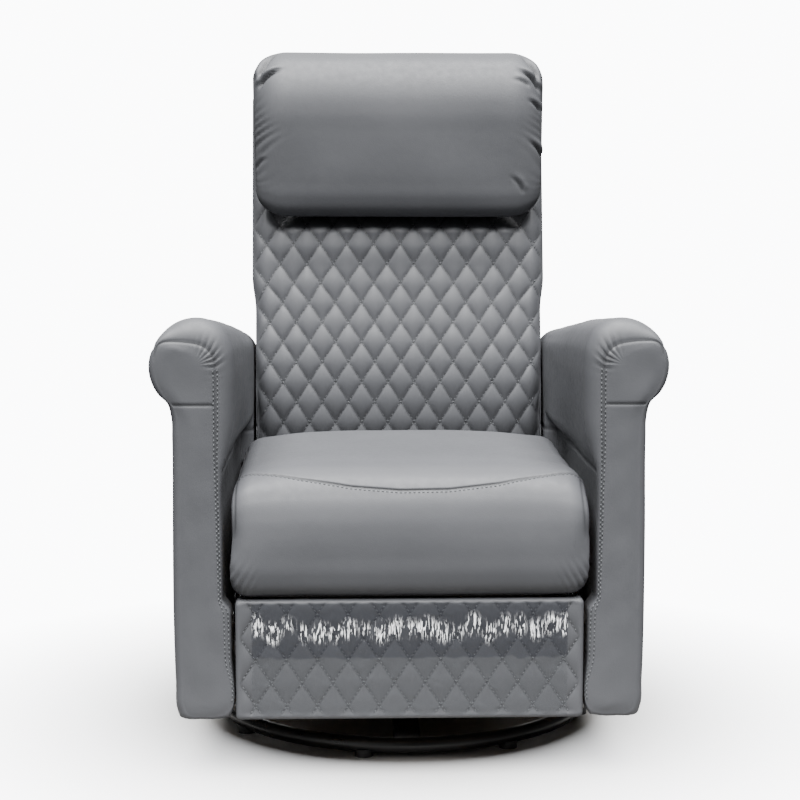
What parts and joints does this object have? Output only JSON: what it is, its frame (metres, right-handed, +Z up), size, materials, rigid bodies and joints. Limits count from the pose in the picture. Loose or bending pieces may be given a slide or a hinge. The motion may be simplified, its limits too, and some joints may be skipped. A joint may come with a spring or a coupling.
{
  "type": "swivel rocker recliner",
  "caption": "Padded leather armchair that swivels and rocks on a round steel ring, with a reclining back, a fold-out legrest and a head pillow.",
  "frame": {"origin": "on the floor at the middle of the chair's footprint, on the swivel axis of the ring base", "axes": "+Z up, the front of the chair faces -Y, +X to the right of someone looking at its front"},
  "size_m": [0.75, 0.81, 1.0875],
  "materials": {
    "upholstery": "satin",
    "clear_film": "gloss",
    "black_steel": "satin",
    "zinc_steel": "satin",
    "spring_steel": "satin",
    "timber": "matte",
    "black_plastic": "matte",
    "cage_plastic": "matte",
    "webbing": "matte"
  },
  "bodies": {
    "ring_base": {"base_ring": "black_steel", "base_spider": "black_steel", "ring_glides": "black_plastic", "bearing_lower": "zinc_steel", "bearing_balls": "zinc_steel", "bearing_cage": "cage_plastic"},
    "turntable": {"bearing_upper": "zinc_steel", "centre_bolt": "zinc_steel", "centre_nut": "zinc_steel", "swivel_frame": "black_steel", "rocker_track_left": "timber", "rocker_track_right": "timber", "rocker_springs": "spring_steel"},
    "rocker": {"rocker_cam_left": "timber", "rocker_cam_right": "timber", "spring_plates": "black_steel", "cross_tube_front": "black_steel", "cross_tube_rear": "black_steel", "base_rail_left": "black_steel", "base_rail_right": "black_steel", "arm_frame_left": "timber", "arm_frame_right": "timber", "arm_cover_left": "upholstery", "arm_cover_right": "upholstery", "arm_bolts": "zinc_steel", "rear_apron": "upholstery", "release_bezel": "black_plastic", "release_cable": "black_plastic"},
    "release": {"release_paddle": "black_plastic"},
    "seat": {"seat_plate_left": "black_steel", "seat_plate_right": "black_steel", "guide_pins": "zinc_steel", "seat_rail_front": "timber", "seat_rail_rear": "timber", "seat_rails_side": "timber", "seat_springs": "spring_steel", "seat_cushion": "upholstery", "seat_pivots": "zinc_steel"},
    "legrest_drive": {"torque_tube": "black_steel", "drive_links": "black_steel", "drive_rivets": "zinc_steel"},
    "legrest_carrier": {"carrier_links": "black_steel"},
    "legrest_follower": {"follower_links": "black_steel", "follower_rivets": "zinc_steel"},
    "legrest_stay": {"stay_links": "black_steel"},
    "footrest": {"footrest_board": "timber", "footrest_pad": "upholstery", "footrest_film": "clear_film", "footrest_brackets": "black_steel", "footrest_rivets": "zinc_steel", "footrest_screws": "zinc_steel"},
    "back": {"back_frame": "timber", "back_webbing": "webbing", "back_cushion": "upholstery", "back_panel": "upholstery", "head_pillow": "upholstery", "back_brackets": "black_steel"}
  },
  "joints": [
    {"name": "swivel", "type": "hinge", "parent": "ring_base", "child": "turntable", "pos_m": [0, 0, 0.035], "axis": [0, 0, 1], "continuous": true},
    {"name": "rocking", "type": "hinge", "parent": "turntable", "child": "rocker", "pos_m": [0, 0, 0.115], "axis": [1, 0, 0], "range_deg": [-10, 7], "stiffness_Nm_per_rad": 900, "deforming": ["rocker_springs"]},
    {"name": "seat_slide", "type": "slide", "parent": "rocker", "child": "seat", "axis": [0, -0.9976, 0.0698], "range_m": [0, 0.06]},
    {"name": "back_recline", "type": "hinge", "parent": "seat", "child": "back", "pos_m": [0, 0.165, 0.335], "axis": [-1, 0, 0], "range_deg": [0, 42]},
    {"name": "legrest", "type": "hinge", "parent": "seat", "child": "legrest_drive", "pos_m": [0, -0.205, 0.242], "axis": [-1, 0, 0], "range_deg": [0, 143]},
    {"name": "legrest_carrier", "type": "hinge", "parent": "legrest_drive", "child": "legrest_carrier", "pos_m": [0, -0.06984, 0.14736], "axis": [1, 0, 0], "range_deg": [0, 113.6]},
    {"name": "legrest_board", "type": "hinge", "parent": "legrest_carrier", "child": "footrest", "pos_m": [0, -0.33003, 0.14995], "axis": [-1, 0, 0], "range_deg": [0, 56.6]},
    {"name": "legrest_follower", "type": "hinge", "parent": "seat", "child": "legrest_follower", "pos_m": [0, -0.2616, 0.242], "axis": [-1, 0, 0], "range_deg": [0, 153.2]},
    {"name": "legrest_stay", "type": "hinge", "parent": "legrest_follower", "child": "legrest_stay", "pos_m": [0, -0.15426, 0.16538], "axis": [1, 0, 0], "range_deg": [0, 129.7]},
    {"name": "release", "type": "hinge", "parent": "rocker", "child": "release", "pos_m": [-0.337, -0.12, 0.462], "axis": [0, 1, 0], "range_deg": [0, 35], "stiffness_Nm_per_rad": 0.3, "springref_deg": -17.19}
  ],
  "couplings": [
    {"joint": "seat_slide", "follows": "back_recline", "m_per_rad": 0.0818},
    {"joint": "legrest_carrier", "follows": "legrest", "ratio": 0.7942},
    {"joint": "legrest_board", "follows": "legrest", "ratio": 0.3956},
    {"joint": "legrest_follower", "follows": "legrest", "ratio": 1.0706},
    {"joint": "legrest_stay", "follows": "legrest", "ratio": 0.9063}
  ]
}
